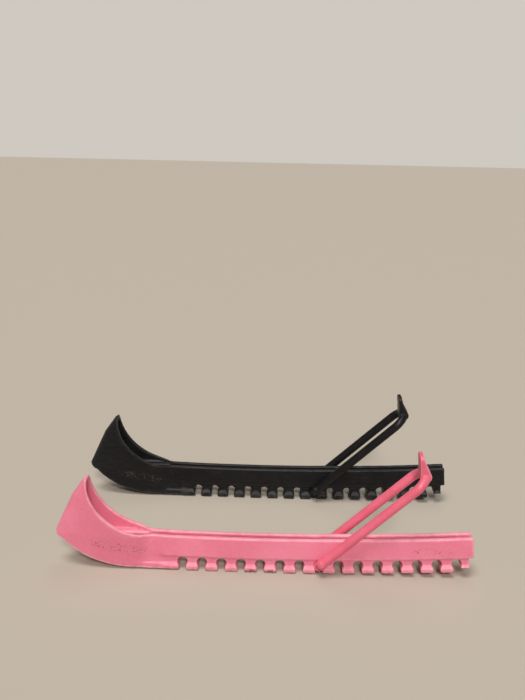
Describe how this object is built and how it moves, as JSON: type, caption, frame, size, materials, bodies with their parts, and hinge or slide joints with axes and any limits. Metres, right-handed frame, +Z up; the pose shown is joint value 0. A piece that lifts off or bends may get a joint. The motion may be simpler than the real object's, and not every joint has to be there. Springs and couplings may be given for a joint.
{
  "type": "skate blade guards",
  "caption": "Pair of moulded skate blade guards: slotted channels with toe cups, notched treads and hinged rubber heel straps.",
  "frame": {"origin": "centre of the pair's bounding box, at the floor that the treads stand on", "axes": "+X along the guards from toe to heel, +Y across the pair from the pink guard to the black one, +Z up"},
  "size_m": [0.3329, 0.1654, 0.103],
  "materials": {
    "pink_pvc": "soft moulded PVC, satin, scuffed",
    "pink_rubber": "moulded rubber, satin",
    "black_pvc": "soft moulded PVC, satin, scuffed",
    "black_rubber": "moulded rubber, satin"
  },
  "bodies": {
    "pink_guard": {"pink_guard": "pink_pvc"},
    "pink_strap": {"pink_heel_strap": "pink_rubber"},
    "black_guard": {"black_guard": "black_pvc"},
    "black_strap": {"black_heel_strap": "black_rubber"}
  },
  "joints": [
    {"name": "pink_strap_swing", "type": "hinge", "parent": "pink_guard", "child": "pink_strap", "pos_m": [0.04465, -0.0655, 0.00713], "axis": [0, -1, 0], "range_deg": [-24, 112]},
    {"name": "move_black_guard_aside", "type": "slide", "parent": "pink_guard", "child": "black_guard", "axis": [0, 1, 0], "range_m": [0, 0.12]},
    {"name": "black_strap_swing", "type": "hinge", "parent": "black_guard", "child": "black_strap", "pos_m": [0.04465, 0.0655, 0.00713], "axis": [0, -1, 0], "range_deg": [-24, 112]}
  ]
}
